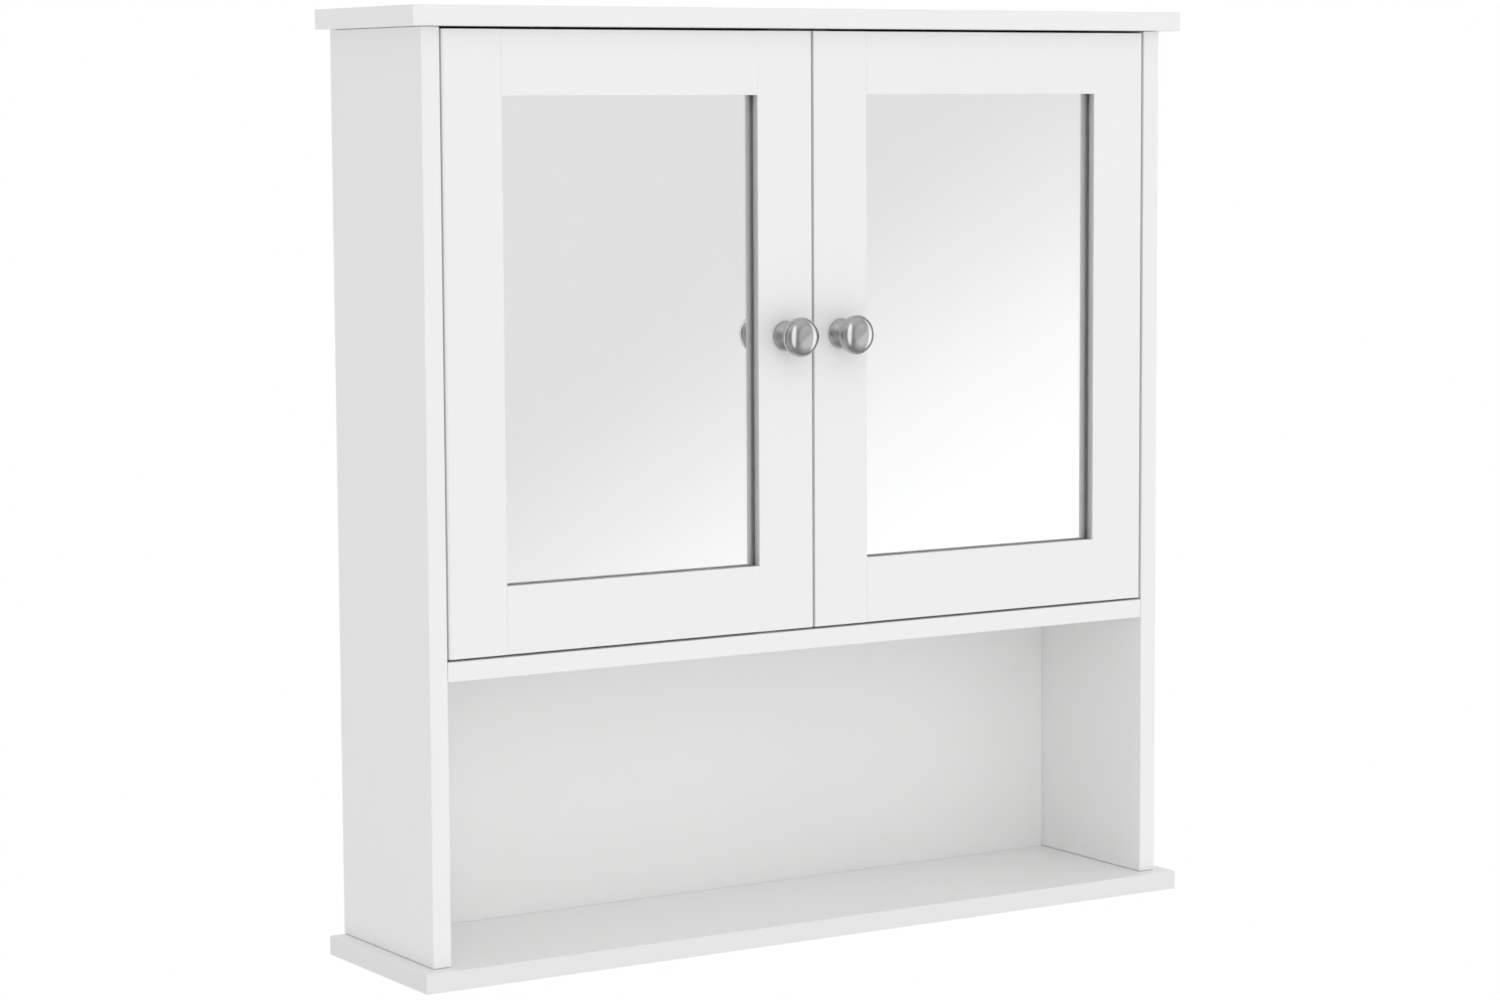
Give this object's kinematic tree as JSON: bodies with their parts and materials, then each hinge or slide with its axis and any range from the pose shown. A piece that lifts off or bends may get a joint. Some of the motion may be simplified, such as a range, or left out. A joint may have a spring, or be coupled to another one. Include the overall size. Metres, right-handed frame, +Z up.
{
  "type": "hanging wall cabinet",
  "caption": "Shallow white wall cabinet with inset framed mirror doors on concealed hinges, round metal knobs, a shelf on pins and an open compartment below.",
  "frame": {"origin": "on the wall plane, at the middle of the top board's rear edge", "axes": "+Z up, +X along the wall towards the right door as seen from the room, +Y into the wall, so the doors face -Y"},
  "size_m": [0.56, 0.1447, 0.58],
  "materials": {
    "white_paint": "satin white paint on fibreboard",
    "white_laminate": "smooth white laminate on hardboard",
    "mirror": "silvered float glass",
    "nickel": "polished nickel plate",
    "steel": "nickel plated pressed steel",
    "zinc": "zinc plated steel",
    "white_plastic": "moulded, fine matte",
    "ferrite": "dark sintered magnet"
  },
  "bodies": {
    "cabinet": {"top_board": "white_paint", "bottom_board": "white_paint", "fixed_shelf": "white_paint", "back_panel": "white_laminate", "catch_housing": "white_plastic", "left_side_panel": "white_paint", "left_hanger_plate": "steel", "left_hanger_screw_1": "zinc", "left_hanger_screw_2": "zinc", "left_base_screw_1": "zinc", "left_base_screw_2": "zinc", "left_magnet": "ferrite", "left_rear_shelf_pin": "nickel", "left_front_shelf_pin": "nickel", "left_lower_hinge_mounting_plate": "steel", "left_lower_hinge_arm": "steel", "left_upper_hinge_mounting_plate": "steel", "left_upper_hinge_arm": "steel", "right_side_panel": "white_paint", "right_hanger_plate": "steel", "right_hanger_screw_1": "zinc", "right_hanger_screw_2": "zinc", "right_base_screw_1": "zinc", "right_base_screw_2": "zinc", "right_magnet": "ferrite", "right_rear_shelf_pin": "nickel", "right_front_shelf_pin": "nickel", "right_lower_hinge_mounting_plate": "steel", "right_lower_hinge_arm": "steel", "right_upper_hinge_mounting_plate": "steel", "right_upper_hinge_arm": "steel"},
    "left_door": {"left_lower_hinge_cup": "steel", "left_lower_hinge_pin": "steel", "left_upper_hinge_cup": "steel", "left_upper_hinge_pin": "steel", "left_hinge_stile": "white_paint", "left_lock_stile": "white_paint", "left_top_rail": "white_paint", "left_bottom_rail": "white_paint", "left_mirror": "mirror", "left_backing_board": "white_laminate", "left_knob": "nickel", "left_knob_screw": "zinc", "left_strike_plate": "steel"},
    "right_door": {"right_lower_hinge_cup": "steel", "right_lower_hinge_pin": "steel", "right_upper_hinge_cup": "steel", "right_upper_hinge_pin": "steel", "right_hinge_stile": "white_paint", "right_lock_stile": "white_paint", "right_top_rail": "white_paint", "right_bottom_rail": "white_paint", "right_mirror": "mirror", "right_backing_board": "white_laminate", "right_knob": "nickel", "right_knob_screw": "zinc", "right_strike_plate": "steel"},
    "shelf": {"adjustable_shelf": "white_paint"}
  },
  "joints": [
    {"name": "left_door_hinge", "type": "hinge", "parent": "cabinet", "child": "left_door", "pos_m": [-0.2365, -0.1122, -0.1925], "axis": [0, 0, -1], "range_deg": [0, 95]},
    {"name": "right_door_hinge", "type": "hinge", "parent": "cabinet", "child": "right_door", "pos_m": [0.2365, -0.1122, -0.1925], "axis": [0, 0, 1], "range_deg": [0, 95]},
    {"name": "shelf_lift", "type": "slide", "parent": "cabinet", "child": "shelf", "axis": [0, 0, 1], "range_m": [0, 0.032]}
  ]
}
